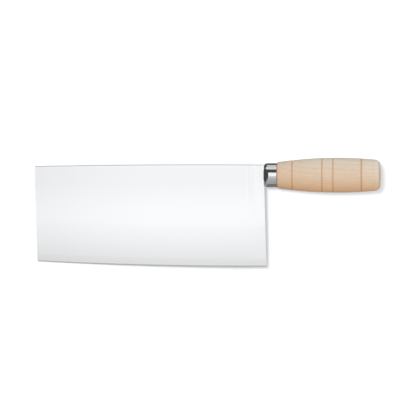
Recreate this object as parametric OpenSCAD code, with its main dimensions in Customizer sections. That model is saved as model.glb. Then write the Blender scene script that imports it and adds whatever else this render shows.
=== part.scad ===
// A wide-bladed kitchen cleaver with a turned wooden handle, lying on a table.
// The pieces are drawn in the knife's own frame: X runs along the handle towards the butt, Y towards
// the spine and Z square to the blade, from the centre of the ferrule's front face.
// laid() then rests the knife on the table, z = 0, on the handle's belly and the end of the blade.

/* [Blade] */
// Length of the blade from its tip to the ferrule
blade_l = 209; // [150:0.5:260]
// Depth of the blade from the spine at the ferrule to the lowest point of the edge
blade_h = 92.5; // [75:0.1:115]
// Height of the spine above the handle's axis at the ferrule
spine_rise = 9.4; // [7:0.1:11]
// Radius of the spine's slow curve
spine_r = 7500; // [3000:100:8000]
// Distance of the spine's highest point in front of the ferrule
spine_crown_x = 62; // [30:1:160]
// Radius of the edge's slow curve
edge_r = 3650; // [1500:10:8000]
// Distance of the edge's lowest point in front of the ferrule
edge_low_x = 20; // [0:1:80]
// How far the tip end falls back between the spine and the edge
tip_offset = 2.6; // [0:0.1:12]
// How far the heel corner lies behind the ferrule's front face
heel_offset = 2.4; // [0:0.1:8]
// How far behind the ferrule's front face the heel's line starts, beside the ferrule
heel_lead = 0.6; // [0:0.1:1.5]
// Rounding of the two corners at the tip end
corner_r = 1.2; // [0.5:0.1:4]

/* [Blade section] */
// Thickness of the blade
blade_t = 2; // [1.6:0.1:3]
// Height of the convex grind above the edge
grind_h = 45; // [25:1:60]
// Thickness just behind the edge's bevel
edge_t = 0.4; // [0.2:0.05:0.8]
// Angle of the bevel on each side
bevel_angle = 15; // [10:1:25]
// Chamfer along both sides of the spine
spine_chamfer = 0.4; // [0.1:0.05:0.5]

/* [Neck and tang] */
// Width of the blade's neck
neck_w = 9; // [7:0.1:10]
// Length of the neck behind the ferrule's front face
neck_l = 18; // [14:0.5:30]
// How much thinner the neck is than the blade, on each side
neck_relief = 0.05; // [0.02:0.01:0.2]
// Diameter of the tang
tang_d = 8; // [6:0.1:8.5]
// Length over which the slotted tang grips the neck
tang_lap = 10; // [6:0.5:13]
// Diameter of the tang's peened head
rivet_d = 11; // [9.5:0.1:12]
// Height of the peened head
rivet_h = 1.5; // [0.8:0.1:2.5]
// Diameter of the hammered flat on the peened head
rivet_flat_d = 2; // [1:0.1:4]

/* [Ferrule] */
// Outer diameter of the ferrule
ferrule_d = 21.7; // [20:0.1:24]
// Length of the ferrule
ferrule_l = 11.8; // [9:0.1:16]
// Thickness of its metal
ferrule_wall = 1; // [0.6:0.1:1.5]
// Rounding of its front corner
ferrule_corner_r = 3.4; // [1.8:0.1:5]
// Length of each pressed flat along the ferrule
flat_l = 4.6; // [2:0.1:5.5]
// Angle of each pressed flat to the handle's axis
flat_angle = 40; // [25:1:50]
// Clearance round the neck in the ferrule's slot
slot_gap = 0.2; // [0.05:0.05:0.4]

/* [Handle] */
// Length of the wood behind the ferrule
handle_l = 94; // [80:0.1:102]
// Diameter of the wood at the ferrule
nose_d = 23.6; // [23:0.1:27]
// Diameter at the belly
belly_d = 31.6; // [28:0.1:36]
// Distance of the belly behind the ferrule
belly_x = 55; // [50:0.5:62]
// Rounding of the corner at the ferrule
nose_corner_r = 2.2; // [0.5:0.1:2.4]
// Rounding of the corner at the butt
butt_corner_r = 5.2; // [2:0.1:6.5]
// Width of the burnt rings
ring_w = 1.2; // [0.8:0.1:3]
// Depth of the burnt rings
ring_depth = 0.35; // [0.2:0.05:0.8]
// Clearance of the wooden tenon inside the ferrule
tenon_gap = 0.05; // [0.02:0.01:0.2]
// Least thickness of resin between the neck or tang and the wood
bedding_t = 0.3; // [0.2:0.05:0.6]

/* [Butt washer] */
// Diameter of the washer
washer_d = 15; // [13:0.1:16.5]
// Thickness of the washer
washer_t = 1.2; // [0.8:0.1:2]
// Chamfer of the washer's outer rim
washer_chamfer = 0.3; // [0.1:0.05:0.4]
// Clearance round the washer in its seat and round the tang in the washer
washer_gap = 0.15; // [0.05:0.05:0.3]
// How far the peened head lies below the end of the wood
rivet_sink = 0.3; // [0.1:0.1:1]

/* [Hidden] */

// Places of the burnt rings along the wood
ring_shares = [0.15, 0.439, 0.545, 0.819];
// Overrun of every cut, and how deep the neck is rooted in the blade
overrun = 1;
// Share of the grind's slope that it has from its very start, the rest comes on evenly
grind_start_share = 0.3;
// How far the handle's rounded corners stand proud of its barrel, so that the two cross cleanly
corner_proud = 0.005;
// Where the convex grind's facets meet, as shares of its height above the edge
grind_shares = [0, 0.15, 0.8, 1];
// Steps of each rounded corner, and fineness of turned and swept shapes
corner_steps = 6;
turned_fn = 144;
swept_fn = 1280;
// A swept shape turns a whole number of these steps each way, in degrees
sweep_step = 1.4;

steel = [0.86, 0.87, 0.88];
polished_steel = [0.72, 0.75, 0.77];
mild_steel = [0.55, 0.55, 0.57];
resin = [0.75, 0.66, 0.45];
wood = [0.86, 0.74, 0.6];

// The blade's outline: spine and edge are arcs with centres far above and below the blade
edge_y = spine_rise - blade_h;
edge_centre = [-edge_low_x, edge_y + edge_r];
spine_centre = [-spine_crown_x, spine_rise - sqrt(spine_r * spine_r - spine_crown_x * spine_crown_x)];
function edge_at(x) = edge_centre[1] - sqrt(pow(edge_r, 2) - pow(x - edge_centre[0], 2));
function spine_at(x) = spine_centre[1] + sqrt(pow(spine_r, 2) - pow(x - spine_centre[0], 2));
function edge_slope(x) = (x - edge_centre[0]) / (edge_centre[1] - edge_at(x));
function spine_slope(x) = -(x - spine_centre[0]) / (spine_at(x) - spine_centre[1]);
tip = [-blade_l, spine_at(-blade_l)];
toe = [-blade_l + tip_offset, edge_at(-blade_l + tip_offset)];

// The blade's flats are parallel, and a convex grind runs from them down to the edge's bevel
function grind_half_t(height) =
    let (drop_share = 1 - height / grind_h)
    blade_t / 2 - (blade_t - edge_t) / 2 * drop_share * (grind_start_share + (1 - grind_start_share) * drop_share);
neck_t = blade_t - 2 * neck_relief;

// The ferrule and the tenon inside it
ferrule_r = ferrule_d / 2;
bore_r = max(tang_d, norm([neck_w, neck_t])) / 2 + bedding_t;
tenon_x = max(flat_l + ferrule_wall * tan(flat_angle / 2), ferrule_corner_r) + tenon_gap;

// The handle's barrel: one arc through the nose and the belly
belly_r = belly_d / 2;
belly_at = ferrule_l + belly_x;
butt_x = ferrule_l + handle_l;
nose_drop = (belly_d - nose_d) / 2;
barrel_r = (pow(belly_x, 2) + pow(nose_drop, 2)) / (2 * nose_drop);
barrel_centre = [belly_r - barrel_r, belly_at];
function barrel_at(x) = barrel_centre[0] + sqrt(pow(barrel_r, 2) - pow(x - belly_at, 2));
function corner_radius_at(x, r) =
    barrel_centre[0] + sqrt(pow(barrel_r - r, 2) - pow(x - belly_at, 2)) + corner_proud;
function corner_meets_barrel(x, r) = x + r * (x - belly_at) / (barrel_r - r);
nose_corner_x = ferrule_l + nose_corner_r;
butt_corner_x = butt_x - butt_corner_r;

// The washer's seat in the butt, the peened head on the washer, and how far the rod runs into the head
seat_x = butt_x - washer_t - rivet_h - rivet_sink;
head_x = seat_x + washer_t;
head_root = rivet_h / 8;

// The knife lies on the belly and on the underside of the blade's tip end
lie_reach = belly_at + blade_l;
lie_drop = barrel_r - belly_r + blade_t / 2;
lie_pitch = asin(barrel_r / norm([lie_reach, lie_drop])) - atan2(lie_drop, lie_reach);
lie_height = blade_l * sin(lie_pitch) + blade_t / 2 * cos(lie_pitch);
tip_end_x = -blade_l * cos(lie_pitch) - blade_t / 2 * sin(lie_pitch);
butt_end_x = butt_corner_x * cos(lie_pitch) + butt_corner_r
    + corner_radius_at(butt_corner_x, butt_corner_r) * sin(lie_pitch);
box_middle = [(tip_end_x + butt_end_x) / 2, (max(belly_r, spine_rise) + edge_y) / 2];

module laid() {
    translate([-box_middle[0], -box_middle[1], lie_height])
        rotate([0, -lie_pitch, 0])
            children();
}

// Turns a profile drawn as [radius, place along the handle] about the handle's axis
module turned() {
    rotate([0, 90, 0])
        rotate_extrude($fn = turned_fn)
            children();
}

// A profile's band from one place along the handle to another
module band(radius, from_x, to_x) {
    translate([0, from_x])
        square([radius, to_x - from_x]);
}

// Points of a rounded corner between two straight sides
function rounded(before, corner, after, radius) =
    let (
        back = (before - corner) / norm(before - corner),
        ahead = (after - corner) / norm(after - corner),
        half = acos(back * ahead) / 2,
        centre = corner + (back + ahead) / norm(back + ahead) * radius / sin(half),
        from_back = corner + back * radius / tan(half) - centre,
        from_ahead = corner + ahead * radius / tan(half) - centre
    )
    [for (step = [0:corner_steps])
        let (
            share = step / corner_steps,
            turn = 180 - 2 * half
        )
        centre + (sin((1 - share) * turn) * from_back + sin(share * turn) * from_ahead) / sin(turn)
    ];

// Side view of the blade. Spine and edge run wide of it, because the two swept rims cut them.
module blade_outline() {
    spine_end = [0, tip[1] + spine_slope(tip[0]) * blade_l];
    heel_y = toe[1] + edge_slope(toe[0]) * (heel_offset - toe[0]);
    heel_share = (ferrule_r + heel_y) / (ferrule_r + edge_y);
    heel = [heel_lead + (heel_offset - heel_lead) * heel_share, heel_y];
    polygon(concat(
        rounded(spine_end, tip, toe, corner_r),
        rounded(tip, toe, heel, corner_r),
        [heel, [heel_lead, -ferrule_r], [0, -ferrule_r + ferrule_corner_r / 2], spine_end]
    ));
}

// Sweeps a profile drawn as [distance, height] about a far centre, past both ends of the blade
module swept(centre, radius, facing) {
    reach = asin((blade_l + heel_offset) / radius);
    sweep = sweep_step * ceil(reach / sweep_step);
    translate(centre)
        rotate(facing - sweep)
            rotate_extrude(angle = 2 * sweep, $fn = swept_fn)
                children();
}

// Rim whose two sloping sides come together, with a flat of width land between them
module rim_profile(radius, side_angle, land) {
    slope_w = (blade_t - land / 2) / tan(side_angle);
    polygon([
        [radius - 2 * blade_h, -blade_t],
        [radius - slope_w, -blade_t],
        [radius, -land / 2],
        [radius, land / 2],
        [radius - slope_w, blade_t],
        [radius - 2 * blade_h, blade_t]
    ]);
}

// Both convex sides of the grind, run on past the flats that cut them off
module grind_profile() {
    side = [for (share = grind_shares)
        [edge_r - grind_h * share, grind_half_t(grind_h * share)]];
    last = len(side) - 1;
    rise = side[last] - side[last - 1];
    run_on = side[last] + 2 * blade_h * rise / norm(rise);
    one_side = [for (i = [0:last]) i < last ? side[i] : run_on];
    polygon(concat(
        one_side,
        [for (i = [last:-1:0]) [one_side[i][0], -one_side[i][1]]]
    ));
}

module neck(root = 0) {
    translate([-root, -neck_w / 2, -neck_t / 2])
        cube([root + neck_l, neck_w, neck_t]);
}

module blade() {
    color(steel)
    union() {
        intersection() {
            linear_extrude(blade_t, center = true)
                blade_outline();
            swept(edge_centre, edge_r, -90)
                intersection() {
                    grind_profile();
                    rim_profile(edge_r, bevel_angle, 0);
                }
            swept(spine_centre, spine_r, 90)
                rim_profile(spine_r, 45, blade_t - 2 * spine_chamfer);
        }
        neck(root = overrun);
    }
}

module tang() {
    color(mild_steel)
    difference() {
        union() {
            turned()
                band(tang_d / 2, neck_l - tang_lap, head_x + head_root);
            peened_head();
        }
        translate([neck_l - tang_lap - overrun, -tang_d, -neck_t / 2])
            cube([tang_lap + overrun, 2 * tang_d, neck_t]);
    }
}

// Domed head with a small hammered flat on it, seated on the washer
module peened_head() {
    rim_r = rivet_d / 2;
    flat_r = rivet_flat_d / 2;
    dome_centre_x = head_x + (pow(rivet_h, 2) + pow(flat_r, 2) - pow(rim_r, 2)) / (2 * rivet_h);
    turned()
        intersection() {
            translate([0, dome_centre_x])
                circle(norm([rim_r, head_x - dome_centre_x]), $fn = turned_fn);
            band(rivet_d, head_x, head_x + rivet_h);
        }
}

// Solid form of the ferrule, drawn inset by a distance for its hollow
module ferrule_form(inset, back_x) {
    corner = ferrule_corner_r - inset;
    radius = ferrule_r - inset;
    difference() {
        turned()
            union() {
                band(radius, inset + corner, back_x);
                band(radius - corner, inset, back_x);
                intersection() {
                    translate([radius - corner, inset + corner])
                        circle(corner, $fn = turned_fn);
                    band(radius, inset, back_x);
                }
            }
        for (side = [0, 180])
            rotate([side, 0, 0])
                pressed_flat(inset);
    }
}

// Everything beyond one pressed flat, which slopes down towards the blade
module pressed_flat(inset) {
    translate([flat_l, 0, ferrule_r])
        rotate([0, -flat_angle, 0])
            translate([-2 * ferrule_d, -ferrule_d, -inset])
                cube([3 * ferrule_d, 2 * ferrule_d, ferrule_d]);
}

module ferrule() {
    color(polished_steel)
    difference() {
        ferrule_form(0, ferrule_l);
        ferrule_form(ferrule_wall, ferrule_l + overrun);
        slot_w = neck_w + 2 * slot_gap;
        slot_t = neck_t + 2 * slot_gap;
        translate([-overrun, -slot_w / 2, -slot_t / 2])
            cube([ferrule_wall + 2 * overrun, slot_w, slot_t]);
    }
}

module ferrule_seal() {
    color(resin)
    difference() {
        ferrule_form(ferrule_wall, tenon_x);
        neck();
        turned()
            band(tang_d / 2, neck_l - tang_lap, neck_l);
    }
}

// The barrel's outline with its two rounded corners
module barrel_profile() {
    nose_meets = corner_meets_barrel(nose_corner_x, nose_corner_r);
    butt_meets = corner_meets_barrel(butt_corner_x, butt_corner_r);
    nose_corner_at = corner_radius_at(nose_corner_x, nose_corner_r);
    butt_corner_at = corner_radius_at(butt_corner_x, butt_corner_r);
    intersection() {
        translate(barrel_centre)
            circle(barrel_r, $fn = swept_fn);
        band(belly_d, nose_meets, butt_meets);
    }
    band(nose_corner_at, ferrule_l, belly_at);
    band(butt_corner_at, belly_at, butt_x);
    translate([nose_corner_at, nose_corner_x])
        circle(nose_corner_r, $fn = turned_fn);
    translate([butt_corner_at, butt_corner_x])
        circle(butt_corner_r, $fn = turned_fn);
}

// Round-bottomed rings burnt into the barrel
module ring_profiles() {
    wire_r = (pow(ring_w / 2, 2) + pow(ring_depth, 2)) / (2 * ring_depth);
    for (share = ring_shares) {
        ring_x = ferrule_l + share * handle_l;
        translate([barrel_at(ring_x) + wire_r - ring_depth, ring_x])
            circle(wire_r, $fn = turned_fn);
    }
}

module handle() {
    color(wood)
    turned()
        difference() {
            union() {
                barrel_profile();
                band(ferrule_r - ferrule_wall - tenon_gap, tenon_x, belly_at);
            }
            ring_profiles();
            band(bore_r, tenon_x - overrun, butt_x + overrun);
            band(washer_d / 2 + washer_gap, seat_x, butt_x + overrun);
        }
}

module tang_bedding() {
    color(resin)
    difference() {
        turned()
            band(bore_r, tenon_x, seat_x);
        neck();
        turned()
            band(tang_d / 2, neck_l - tang_lap, seat_x + overrun);
    }
}

module butt_washer() {
    rim_r = washer_d / 2;
    color(polished_steel)
    turned()
        difference() {
            polygon([
                [0, seat_x],
                [rim_r, seat_x],
                [rim_r, head_x - washer_chamfer],
                [rim_r - washer_chamfer, head_x],
                [0, head_x]
            ]);
            band(tang_d / 2 + washer_gap, seat_x - overrun, head_x + overrun);
        }
}

laid() blade();
laid() tang();
laid() ferrule();
laid() ferrule_seal();
laid() handle();
laid() tang_bedding();
laid() butt_washer();
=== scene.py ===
import bpy
import math
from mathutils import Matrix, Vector


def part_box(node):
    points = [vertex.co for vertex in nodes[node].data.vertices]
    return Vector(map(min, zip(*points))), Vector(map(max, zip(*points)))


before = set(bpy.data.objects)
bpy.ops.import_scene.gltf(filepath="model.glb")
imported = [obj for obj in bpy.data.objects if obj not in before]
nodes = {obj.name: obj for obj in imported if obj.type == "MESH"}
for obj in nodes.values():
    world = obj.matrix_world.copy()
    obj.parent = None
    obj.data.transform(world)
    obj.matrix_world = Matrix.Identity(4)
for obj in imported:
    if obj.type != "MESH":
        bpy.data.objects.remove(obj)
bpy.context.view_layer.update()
millimetre = 0.001

# The knife's own sizes in millimetres. Places are measured from the middle of the ferrule's front face.
knife = {
    "ferruleLength": 11.8,
    "woodLength": 94.0,
    "edgeRadius": 3650.0,            # the edge is a slow curve
    "edgeLowest": (-20.0, -83.1),
}


def middleOf(node):
    low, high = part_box(node)
    return (low + high) / 2


# Where the knife lies: the axis runs from the ferrule's centre to the washer's, butt end up
axisStart = middleOf("ferrule")
axisRun = middleOf("butt_washer") - axisStart
pitch = math.atan2(axisRun.z, axisRun.x)
ferruleFront = axisStart - axisRun.normalized() * knife["ferruleLength"] / 2 * millimetre
print("knife lies at a pitch of", round(math.degrees(pitch), 3), "degrees")


# Helpers for shader nodes. An input is a number, a colour or another node's output.
def place(tree, kind, inputs=None, output=0, **settings):
    made = tree.nodes.new(kind)
    for name, value in settings.items():
        setattr(made, name, value)
    for name, value in (inputs or {}).items():
        if isinstance(value, bpy.types.NodeSocket):
            tree.links.new(value, made.inputs[name])
        else:
            made.inputs[name].default_value = value
    return made.outputs[output]


def sums(tree, operation, *values):
    inputs = {i: value for i, value in enumerate(values)}
    return place(tree, "ShaderNodeMath", inputs, operation=operation)


def times(tree, first, second):
    return sums(tree, "MULTIPLY", first, second)


def plus(tree, first, second):
    return sums(tree, "ADD", first, second)


def ramp(tree, factor, stops, smooth=True):
    # Stops are (place, tone or colour)
    made = tree.nodes.new("ShaderNodeValToRGB")
    made.color_ramp.interpolation = "EASE" if smooth else "LINEAR"
    points = made.color_ramp.elements
    while len(points) < len(stops):
        points.new(0.5)
    for point, (where, value) in zip(points, stops):
        point.position = where
        point.color = (*value, 1) if hasattr(value, "__len__") else (value, value, value, 1)
    tree.links.new(factor, made.inputs["Fac"])
    return made.outputs["Color"]


def between(tree, value, none, full):
    # 0 where the value is none or lies beyond it, and 1 from full on
    inputs = {"Value": value, "From Min": none, "From Max": full}
    return place(tree, "ShaderNodeMapRange", inputs, clamp=True)


def roughnessFrom(tree, value, middle, less, more):
    # Noise mostly stays between 0.3 and 0.7
    inputs = {"Value": value, "From Min": 0.3, "From Max": 0.7,
              "To Min": middle - less, "To Max": middle + more}
    return place(tree, "ShaderNodeMapRange", inputs)


def blendColours(tree, factor, first, second, how="MIX"):
    made = tree.nodes.new("ShaderNodeMix")
    made.data_type = "RGBA"
    made.blend_type = how
    for name, kind, value in (("Factor", "VALUE", factor), ("A", "RGBA", first), ("B", "RGBA", second)):
        socket = [s for s in made.inputs if s.name == name and s.type == kind][0]
        if isinstance(value, bpy.types.NodeSocket):
            tree.links.new(value, socket)
        else:
            socket.default_value = (*value, 1) if hasattr(value, "__len__") else value
    return [s for s in made.outputs if s.type == "RGBA"][0]


def tinted(tree, colour, tint):
    return blendColours(tree, 1.0, colour, tint, "MULTIPLY")


def sceneCoordinates(tree):
    return place(tree, "ShaderNodeTexCoord", output="Object")


def knifeCoordinates(tree):
    # Millimetres in the knife's own frame: x along the handle, y to the spine, z square to the blade
    inputs = {"Vector": sceneCoordinates(tree), "Location": ferruleFront,
              "Rotation": (0, -pitch, 0), "Scale": (millimetre,) * 3}
    return place(tree, "ShaderNodeMapping", inputs, vector_type="TEXTURE")


def noise(tree, vector, scale=1.0, detail=2.0, rough=0.5, distort=0.0):
    # The scale is in marks a millimetre: one number, or one for each of x, y and z
    if hasattr(scale, "__len__"):
        vector = place(tree, "ShaderNodeVectorMath", {0: vector, 1: scale}, operation="MULTIPLY")
        scale = 1.0
    inputs = {"Vector": vector, "Scale": scale, "Detail": detail, "Roughness": rough,
              "Distortion": distort}
    return place(tree, "ShaderNodeTexNoise", inputs)


def parts(tree, vector):
    made = tree.nodes.new("ShaderNodeSeparateXYZ")
    tree.links.new(vector, made.inputs[0])
    return made.outputs[0], made.outputs[1], made.outputs[2]


def startMaterial(name):
    made = bpy.data.materials.new(name)
    made.use_nodes = True
    surface = made.node_tree.nodes["Principled BSDF"]
    return made, made.node_tree, surface


def finishSurface(tree, surface, colour, rough, height, relief, metal=0):
    # The relief is the bump's strength and its depth in millimetres
    strength, depth = relief
    inputs = {"Strength": strength, "Distance": depth * millimetre, "Height": height}
    tree.links.new(colour, surface.inputs["Base Color"])
    tree.links.new(rough, surface.inputs["Roughness"])
    tree.links.new(place(tree, "ShaderNodeBump", inputs), surface.inputs["Normal"])
    surface.inputs["Metallic"].default_value = metal


def dress(node, material):
    thing = nodes[node]
    thing.data.materials.clear()
    thing.data.materials.append(material)


# Blade: satin ground steel, brushed from spine to edge, with a finer ground strip, partly painted darker
# as shade, and the bevel below.
# A pair of places gives where something starts to show and where it is full.
blade = {
    "colour": (0.965, 0.972, 0.985),
    "groundColourWithShade": (0.93, 0.934, 0.942),
    "groundHeight": (36.0, 0),       # mm above the edge
    "bevelColour": (0.8, 0.81, 0.82),
    "bevelHeight": (0.83, 0.73),
    "spineShadeColour": (0.6, 0.6, 0.61),
    "spineTurn": (0.3, 0.5),         # how far a face is turned to the spine side
    "roughness": 0.17,
    "roughSpread": 0.02,
    "cloudRoughness": 0.03,
    "clouds": {"scale": (0.02, 0.02, 1)},
    "brushLines": {"scale": (5.0, 0.02, 1), "detail": 3, "rough": 0.6},
    "groundLines": {"scale": (0.06, 9, 1)},
    "groundLineDepth": 0.4,          # beside the brush lines
    "relief": (0.25, 0.012),
    "streaks": {"scale": (0.35, 0.012, 1)},
    "streakTones": [(0.35, 0.96), (0.65, 1.0)],
    "streakReach": (34.0, 10.0),     # mm from the ferrule's front, where wider streaks show
}


def makeBladeSteel():
    made, tree, surface = startMaterial("blade_steel")
    local = knifeCoordinates(tree)
    x, y = parts(tree, local)[:2]
    lowX, lowY = knife["edgeLowest"]
    # The edge's rise is the square of the distance from its lowest point over twice its radius
    away = sums(tree, "SUBTRACT", x, lowX)
    rise = sums(tree, "DIVIDE", times(tree, away, away), 2 * knife["edgeRadius"])
    height = sums(tree, "SUBTRACT", sums(tree, "SUBTRACT", y, lowY), rise)

    # The ground strip is darker partly as its own finer finish and partly as painted shade
    ground = between(tree, height, *blade["groundHeight"])
    colour = blendColours(tree, ground, blade["colour"], blade["groundColourWithShade"])
    fromFerrule = place(tree, "ShaderNodeVectorMath", {0: local}, output="Value", operation="LENGTH")
    nearFerrule = between(tree, fromFerrule, *blade["streakReach"])
    streaks = ramp(tree, noise(tree, local, **blade["streaks"]), blade["streakTones"])
    colour = blendColours(tree, nearFerrule, colour, tinted(tree, colour, streaks))
    onBevel = between(tree, height, *blade["bevelHeight"])
    colour = blendColours(tree, onBevel, colour, blade["bevelColour"])
    # The spine and its broken corners are painted darker, as painted shade on faces turned to the spine
    # side
    facing = parts(tree, place(tree, "ShaderNodeNewGeometry", output="Normal"))
    towardSpine = between(tree, facing[1], *blade["spineTurn"])
    colour = blendColours(tree, towardSpine, colour, blade["spineShadeColour"])

    lines = noise(tree, local, **blade["brushLines"])
    clouds = noise(tree, local, **blade["clouds"])
    rough = roughnessFrom(tree, lines, blade["roughness"], blade["roughSpread"], blade["roughSpread"])
    rough = plus(tree, rough, times(tree, clouds, blade["cloudRoughness"]))
    groundLines = times(tree, noise(tree, local, **blade["groundLines"]), ground)
    scratches = plus(tree, lines, times(tree, groundLines, blade["groundLineDepth"]))
    finishSurface(tree, surface, colour, rough, scratches, blade["relief"], metal=1)
    return made


# Ferrule and washer: polished steel, with faint lines round them and a soft haze
polish = {
    "haze": {"scale": 0.35, "detail": 3, "rough": 0.6},
    "hazeLess": 0.02,                # how far the haze takes the roughness down and up
    "hazeMore": 0.05,
    "spots": {"scale": 4.0},
    "spotTones": [(0.25, 0.94), (0.6, 1.0)],
    "lineAcross": 0.05,
    "relief": (0.12, 0.02),
}
ferrule = {
    "colour": (0.92, 0.945, 0.95),
    "roughness": 0.1,
    "lineCount": 9.0,                # lines a millimetre along the axis
    # Painted shade at the front corners, where the ferrule meets the blade
    "grimeAndShadeColour": (0.18, 0.18, 0.18),
    "frontShadeAlong": (2.0, 0.9),        # mm behind the front face
    "frontShadeBeside": (5.2, 6.8),       # mm from the middle, to both sides of the pressed flats
}
washer = {
    "colour": (0.78, 0.79, 0.8),
    "roughness": 0.24,
    "lineCount": 6.0,
}


def makePolishedSteel(name, settings):
    made, tree, surface = startMaterial(name)
    local = knifeCoordinates(tree)
    x, y = parts(tree, local)[:2]
    spots = ramp(tree, noise(tree, local, **polish["spots"]), polish["spotTones"])
    colour = tinted(tree, settings["colour"], spots)
    if "grimeAndShadeColour" in settings:
        # Painted shade: the front is painted dark where the rounded corners meet the blade
        beside = between(tree, sums(tree, "ABSOLUTE", y), *settings["frontShadeBeside"])
        grimeAndShade = times(tree, between(tree, x, *settings["frontShadeAlong"]), beside)
        colour = blendColours(tree, grimeAndShade, colour, settings["grimeAndShadeColour"])
    haze = noise(tree, local, **polish["haze"])
    rough = roughnessFrom(tree, haze, settings["roughness"], polish["hazeLess"], polish["hazeMore"])
    lines = noise(tree, local, (settings["lineCount"], polish["lineAcross"], polish["lineAcross"]))
    finishSurface(tree, surface, colour, rough, lines, polish["relief"], metal=1)
    return made


# Rod of the tang: plain steel, hammered flat where it shows in the butt
tang = {
    "colour": (0.62, 0.62, 0.63),
    "grimeAndShadeColour": (0.4, 0.38, 0.36),
    "grimeAndShade": {"scale": 0.8, "detail": 4, "rough": 0.6},
    "grimeEnds": [(0.35, 0.0), (0.7, 1.0)],
    "roughness": 0.36,
    "grimeRoughness": 0.15,
    "hammerMarks": 0.9,              # marks a millimetre
    "relief": (0.6, 0.15),
}


def makeHammeredSteel():
    made, tree, surface = startMaterial("tang_steel")
    local = knifeCoordinates(tree)
    grimeAndShade = noise(tree, local, **tang["grimeAndShade"])
    clean = ramp(tree, grimeAndShade, tang["grimeEnds"])
    colour = blendColours(tree, clean, tang["grimeAndShadeColour"], tang["colour"])
    rough = plus(tree, tang["roughness"], times(tree, grimeAndShade, tang["grimeRoughness"]))
    marks = place(tree, "ShaderNodeTexVoronoi", {"Vector": local, "Scale": tang["hammerMarks"]},
                  feature="SMOOTH_F1")
    finishSurface(tree, surface, colour, rough, marks, tang["relief"], metal=1)
    return made


# Handle: pale turned wood with the grain along it, burnt rings and end grain at the butt
handle = {
    # Wood colour from its spine side down to its edge side: paler on the spine side as painted sheen,
    # warmer and darker on the edge side as painted shade
    "sideHalf": 17.2,                # mm from the axis to either side
    "sideShadeColours": [(0.25, (0.755, 0.64, 0.52)), (0.6, (0.745, 0.58, 0.435)),
                    (0.85, (0.755, 0.525, 0.34)), (1.0, (0.84, 0.49, 0.27))],
    "patches": {"scale": (0.03, 0.08, 0.08)},
    "patchShift": 0.25,
    # Tints from the ferrule to the butt: the rounded corner is painted paler as a highlight, and end grain
    # starts behind it
    "lengthTintsAndHighlight": [(0.0, (0.94, 0.9, 0.84)), (0.5, (1, 1, 1)), (0.8, (1, 1, 1)),
                    (0.95, (1.04, 1.07, 1.09)), (0.97, (1.13, 1.24, 1.33)),
                    (0.99, (1.13, 1.24, 1.33)), (1.0, (1.22, 0.93, 0.7))],
    # Growth rings round a pith that lies off the axis and runs askew
    "grainColour": (0.58, 0.4, 0.255),
    "grainShare": 0.22,
    "pithAway": (31.0, 18.0),        # mm from the axis in y and z
    "pithSkew": (0.06, -0.03),       # mm in y and z for each mm along the handle
    "ringsPerMillimetre": 0.42,
    "wander": {"scale": (0.012, 0.05, 0.05)},
    "wanderWidth": 9.0,              # mm
    "ringTones": [(0.0, 0.55), (0.12, 0.0), (0.55, 0.12), (0.93, 1.0), (1.0, 0.55)],
    # Fibres and pores
    "fibres": {"scale": (0.05, 2.6, 2.6), "detail": 4, "rough": 0.6},
    "fibreTones": [(0.3, 0.93), (0.7, 1.04)],
    "pores": {"scale": (0.35, 7.0, 7.0)},
    "poreTones": [(0.28, 0.86), (0.4, 1.0)],
    "poreDepth": 0.8,                # beside the fibres
    "roughness": 0.5,
    "fibreRoughness": 0.12,
    "relief": (0.3, 0.08),
    # Scorched rim at the ferrule
    "rimColour": (0.575, 0.26, 0.145),
    "rimShare": 0.75,
    "rimReach": (2.6, 0.9),          # mm behind the ferrule
    "rimWobble": {"scale": 0.25},
    "rimWobbleWidth": 1.2,           # mm
    # Rings burnt in with a wire: their place along the wood, and how dark each is
    "burntColour": (0.535, 0.263, 0.11),
    "ringBurns": ((0.15, 0.63), (0.439, 0.6), (0.545, 0.58), (0.819, 0.75)),
    "burnReach": (0.95, 0.25),       # mm to each side of a ring's middle
    "burnWobble": {"scale": 0.6},
    "burnWobbleWidth": 0.5,          # mm
}


def growthRings(tree, local, x, y, z):
    awayY, awayZ = handle["pithAway"]
    skewY, skewZ = handle["pithSkew"]
    pithY = plus(tree, plus(tree, y, times(tree, x, skewY)), awayY)
    pithZ = plus(tree, plus(tree, z, times(tree, x, skewZ)), awayZ)
    fromPith = sums(tree, "SQRT", plus(tree, times(tree, pithY, pithY), times(tree, pithZ, pithZ)))
    wander = times(tree, noise(tree, local, **handle["wander"]), handle["wanderWidth"])
    rings = times(tree, plus(tree, fromPith, wander), handle["ringsPerMillimetre"])
    return ramp(tree, sums(tree, "FRACT", rings), handle["ringTones"])


def burntRings(tree, local, x):
    # Noise is 0.5 in the middle, so a ring strays to both sides
    wobble = sums(tree, "SUBTRACT", noise(tree, local, **handle["burnWobble"]), 0.5)
    wobble = times(tree, wobble, handle["burnWobbleWidth"])
    none, full = handle["burnReach"]
    burnt = None
    for share, burn in handle["ringBurns"]:
        middle = knife["ferruleLength"] + share * knife["woodLength"]
        away = sums(tree, "ABSOLUTE", plus(tree, sums(tree, "SUBTRACT", x, middle), wobble))
        near = place(tree, "ShaderNodeMapRange", {"Value": away, "From Min": none, "From Max": full},
                     interpolation_type="SMOOTHSTEP")
        near = times(tree, near, burn)
        burnt = near if burnt is None else sums(tree, "MAXIMUM", burnt, near)
    return burnt


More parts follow.
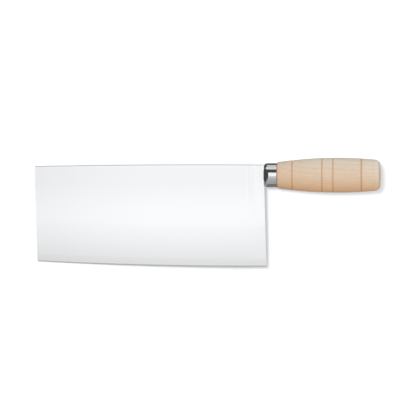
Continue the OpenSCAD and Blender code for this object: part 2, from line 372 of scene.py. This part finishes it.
def makeHandleWood():
    made, tree, surface = startMaterial("handle_wood")
    local = knifeCoordinates(tree)
    x, y, z = parts(tree, local)
    front = knife["ferruleLength"]

    patches = times(tree, noise(tree, local, **handle["patches"]), handle["patchShift"])
    # Painted sheen and shade: the colour turns warmer and darker from the spine side to the edge side
    side = plus(tree, between(tree, y, handle["sideHalf"], -handle["sideHalf"]), patches)
    colour = ramp(tree, side, handle["sideShadeColours"], smooth=False)
    share = between(tree, x, front, front + knife["woodLength"])
    # The butt's rounded corner gets a painted highlight here
    colour = tinted(tree, colour, ramp(tree, share, handle["lengthTintsAndHighlight"], smooth=False))

    late = times(tree, growthRings(tree, local, x, y, z), handle["grainShare"])
    colour = blendColours(tree, late, colour, handle["grainColour"])
    fibres = noise(tree, local, **handle["fibres"])
    colour = tinted(tree, colour, ramp(tree, fibres, handle["fibreTones"]))
    pores = noise(tree, local, **handle["pores"])
    colour = tinted(tree, colour, ramp(tree, pores, handle["poreTones"]))

    wobble = times(tree, noise(tree, local, **handle["rimWobble"]), handle["rimWobbleWidth"])
    none, full = handle["rimReach"]
    atRim = between(tree, plus(tree, x, wobble), front + none, front + full)
    colour = blendColours(tree, times(tree, atRim, handle["rimShare"]), colour, handle["rimColour"])
    colour = blendColours(tree, burntRings(tree, local, x), colour, handle["burntColour"])

    rough = plus(tree, handle["roughness"], times(tree, fibres, handle["fibreRoughness"]))
    relief = plus(tree, fibres, times(tree, pores, handle["poreDepth"]))
    finishSurface(tree, surface, colour, rough, relief, handle["relief"])
    return made


# Resin in the ferrule's nose and round the tang
resin = {
    "colour": (0.5, 0.38, 0.2),
    "darkColour": (0.36, 0.25, 0.12),
    "swirls": {"scale": 0.5, "detail": 4, "rough": 0.55, "distort": 1.2},
    "swirlEnds": [(0.35, 0.0), (0.65, 1.0)],
    "roughness": 0.42,
    "swirlRoughness": 0.2,
    "relief": (0.3, 0.1),
}


def makeResin():
    made, tree, surface = startMaterial("resin")
    swirls = noise(tree, knifeCoordinates(tree), **resin["swirls"])
    pale = ramp(tree, swirls, resin["swirlEnds"])
    colour = blendColours(tree, pale, resin["darkColour"], resin["colour"])
    rough = plus(tree, resin["roughness"], times(tree, swirls, resin["swirlRoughness"]))
    finishSurface(tree, surface, colour, rough, swirls, resin["relief"])
    return made


dress("blade", makeBladeSteel())
dress("ferrule", makePolishedSteel("ferrule_steel", ferrule))
dress("tang", makeHammeredSteel())
dress("handle", makeHandleWood())
castResin = makeResin()
dress("ferrule_seal", castResin)
dress("tang_bedding", castResin)
dress("butt_washer", makePolishedSteel("washer_steel", washer))
print("materials are on", len(nodes), "pieces")


# Studio: a white floor and world, one soft far lamp from the upper left, and panels that only metal sees
studio = {
    "worldLevel": 0.48,
    "lampStrength": 1.66,
    "lampAngle": 13.0,               # degrees across
    "lampLean": (-0.2, 0.155),       # metres to the left and to the spine side, for each metre up
    "floorReach": 3.0,               # metres from the middle to each side
    "floorColour": (0.795, 0.8, 0.81),
    "floorGlow": 0.34,               # only for the camera and for gloss
    "underHandleShadowTint": (0.8, 0.9, 0.97),
    "underHandleFront": (0, 20),     # mm along the handle, where that colour comes in and goes out
    "underHandleBack": (110, 95),
}


def seenDirectly(tree):
    # 1 for rays from the camera, off gloss or through glass, as long as no matt surface came before
    made = tree.nodes.new("ShaderNodeLightPath")
    seen = sums(tree, "MAXIMUM", made.outputs["Is Camera Ray"], made.outputs["Is Glossy Ray"])
    seen = sums(tree, "MAXIMUM", seen, made.outputs["Is Transmission Ray"])
    return times(tree, seen, sums(tree, "LESS_THAN", made.outputs["Diffuse Depth"], 0.5))


def makeWorld():
    world = bpy.data.worlds.new("studio")
    bpy.context.scene.world = world
    world.use_nodes = True
    tree = world.node_tree
    background = tree.nodes["Background"]
    background.inputs["Color"].default_value = (1, 1, 1, 1)
    inputs = {"Value": seenDirectly(tree), "To Min": studio["worldLevel"], "To Max": 1.0}
    tree.links.new(place(tree, "ShaderNodeMapRange", inputs), background.inputs["Strength"])


def addMesh(name, points, faces, material):
    mesh = bpy.data.meshes.new(name)
    mesh.from_pydata(points, [], faces)
    mesh.materials.append(material)
    made = bpy.data.objects.new(name, mesh)
    bpy.context.scene.collection.objects.link(made)
    return made


def makeFloor():
    made, tree, surface = startMaterial("floor_paper")
    tree.nodes.remove(surface)
    # Painted shadow tint: the paper is painted cooler under the handle, against the warm light that the
    # wood throws on it
    along = parts(tree, knifeCoordinates(tree))[0]
    front = between(tree, along, *studio["underHandleFront"])
    back = between(tree, along, *studio["underHandleBack"])
    tone = blendColours(tree, times(tree, front, back), studio["floorColour"], studio["underHandleShadowTint"])
    paper = place(tree, "ShaderNodeBsdfDiffuse", {"Color": tone})
    strength = times(tree, seenDirectly(tree), studio["floorGlow"])
    glow = place(tree, "ShaderNodeEmission", {"Color": (1, 1, 1, 1), "Strength": strength})
    both = place(tree, "ShaderNodeAddShader", {0: paper, 1: glow})
    tree.links.new(both, tree.nodes["Material Output"].inputs["Surface"])

    reach = studio["floorReach"]
    corners = [(-reach, -reach, 0), (reach, -reach, 0), (reach, reach, 0), (-reach, reach, 0)]
    floor = addMesh("floor", corners, [(0, 1, 2, 3)], made)


def glossOnly(thing):
    thing.visible_camera = False
    thing.visible_diffuse = False
    thing.visible_shadow = False
    thing.visible_transmission = False
    thing.visible_volume_scatter = False


def makePanel(name, points, faces, tone):
    # The tone is a number, or a function that makes it with nodes
    made, tree, surface = startMaterial(name)
    tree.nodes.remove(surface)
    colour = tone(tree) if callable(tone) else (tone, tone, tone, 1)
    glow = place(tree, "ShaderNodeEmission", {"Color": colour, "Strength": 1.0})
    tree.links.new(glow, tree.nodes["Material Output"].inputs["Surface"])
    panel = addMesh(name, points, faces, made)
    glossOnly(panel)


# Flat card of one tone or more, with its four corners in order
def makeCard(name, corners, tone):
    makePanel(name, corners, [(0, 1, 2, 3)], tone)


# Curved panels over the knife. Angles go from overhead, 0, and positive ones lean to the spine side.
arches = {
    "radius": 0.9,                   # metres, as the widths are
    "steps": 24,
    # Name, angles, half of the width, and tones on the way from the first angle to the last
    "panels": [
        ("panelEdgeSide", -92, -5, 0.8, [(0.0, 0.33), (0.55, 0.42), (0.94, 0.58), (1.0, 0.9)]),
        ("panelSpineSide", 25, 58, 0.2, [(0.0, 0.5), (0.08, 0.05), (0.92, 0.05), (1.0, 0.5)]),
        ("panelSpineLow", 58, 90, 0.8, [(0.0, 0.73), (1.0, 0.65)]),
    ],
}


def makeArch(name, fromAngle, toAngle, half, tones):
    points = []
    faces = []
    for i in range(arches["steps"] + 1):
        angle = math.radians(fromAngle + (toAngle - fromAngle) * i / arches["steps"])
        y = arches["radius"] * math.sin(angle)
        z = arches["radius"] * math.cos(angle)
        points += [(-half, y, z), (half, y, z)]
        if i:
            faces.append((2 * i - 2, 2 * i - 1, 2 * i + 1, 2 * i))

    def tone(tree):
        y, z = parts(tree, sceneCoordinates(tree))[1:]
        angle = sums(tree, "ARCTAN2", y, z)
        share = between(tree, angle, math.radians(fromAngle), math.radians(toAngle))
        return ramp(tree, share, tones, smooth=False)

    makePanel(name, points, faces, tone)


# Panel close over the blade, which gives the blade its soft change of tone from edge to spine
overBlade = {
    "height": 0.3,                   # metres, as all places here
    "sides": (-0.3, 0.013, -0.15, 0.12),    # left, right, near and far
    "acrossFrom": -0.085,            # in y, where the tones across start and end
    "acrossTo": 0.06,
    "acrossTones": [(0.0, 0.66), (0.12, 0.77), (0.2, 0.86), (0.34, 0.97), (0.48, 1.03),
                    (0.6, 1.03), (0.7, 0.99), (0.8, 0.86), (0.9, 0.93), (1.0, 0.98)],
    "alongFrom": -0.2,               # in x, where the tones along start and end
    "alongTo": -0.08,
    "alongTones": [(0.0, 0.91), (0.5, 0.97), (1.0, 1.0)],
}


def overBladeTone(tree):
    x, y = parts(tree, sceneCoordinates(tree))[:2]
    across = between(tree, y, overBlade["acrossFrom"], overBlade["acrossTo"])
    along = between(tree, x, overBlade["alongFrom"], overBlade["alongTo"])
    tones = ramp(tree, across, overBlade["acrossTones"], smooth=False)
    return tinted(tree, tones, ramp(tree, along, overBlade["alongTones"]))


def flatCorners(left, right, near, far, height):
    return [(left, near, height), (right, near, height), (right, far, height), (left, far, height)]


# Cards that darken what the metal sees low down, with all places in metres
cards = {
    "tipEndTone": 0.05,
    "tipEndTop": 0.16,
    "tipEndLine": [(-0.6, 0.3), (-0.6, -0.5), (-0.3, -0.75)],
    "floorHeight": 0.0005,
    "floorReach": 0.5,
    "beforeFerrule": 0.009,          # where the cards beside the handle start
    "beyondAxis": 0.052,             # where the light part of the floor starts, on the spine side
    "underBladeTone": 0.09,
    "edgeSideTone": 0.17,
    "spineSideTone": 0.1,
    "beyondTone": 0.62,
}


def makeTipEndCard():
    low = [(x, y, 0) for x, y in cards["tipEndLine"]]
    high = [(x, y, cards["tipEndTop"]) for x, y in cards["tipEndLine"]]
    makePanel("cardTipEnd", low + high, [(1, 0, 3, 4), (2, 1, 4, 5)], cards["tipEndTone"])


def makeFloorCards():
    reach = cards["floorReach"]
    start = ferruleFront.x - cards["beforeFerrule"]
    turnsLight = axisStart.y + cards["beyondAxis"]
    spread = [
        ("cardFloorBlade", -reach, start, -reach, 2 * reach, cards["underBladeTone"]),
        ("cardFloorEdgeSide", start, reach, -reach, axisStart.y, cards["edgeSideTone"]),
        ("cardFloorSpineSide", start, reach, axisStart.y, turnsLight, cards["spineSideTone"]),
        ("cardFloorBeyond", start, reach, turnsLight, 2 * reach, cards["beyondTone"]),
    ]
    for name, left, right, near, far, tone in spread:
        makeCard(name, flatCorners(left, right, near, far, cards["floorHeight"]), tone)


def makeLamp():
    data = bpy.data.lights.new("softLamp", "SUN")
    data.energy = studio["lampStrength"]
    data.angle = math.radians(studio["lampAngle"])
    lamp = bpy.data.objects.new("softLamp", data)
    toLamp = Vector((*studio["lampLean"], 1))
    lamp.location = toLamp
    lamp.rotation_euler = (-toLamp).to_track_quat("-Z", "Y").to_euler()
    lamp.visible_glossy = False
    bpy.context.scene.collection.objects.link(lamp)


makeWorld()
makeFloor()
for panel in arches["panels"]:
    makeArch(*panel)
makeCard("panelOverBlade", flatCorners(*overBlade["sides"], overBlade["height"]), overBladeTone)
makeTipEndCard()
makeFloorCards()
makeLamp()
print("studio is lit")

# Camera: straight down from far off through a long lens, as the photograph was taken
view = {
    "height": 4.0,                   # metres, as all sizes here
    "frameWidth": 0.3792,
    "leftOfFerrule": 0.0508,         # from the ferrule's front to the middle of the picture
    "underAxis": 0.02983,
}
cameraData = bpy.data.cameras.new("camera")
cameraData.lens = cameraData.sensor_width * view["height"] / view["frameWidth"]
camera = bpy.data.objects.new("camera", cameraData)
camera.location = (ferruleFront.x - view["leftOfFerrule"], axisStart.y - view["underAxis"], view["height"])
bpy.context.scene.collection.objects.link(camera)
bpy.context.scene.camera = camera
bpy.context.scene.view_settings.view_transform = "Standard"
print("camera is set")
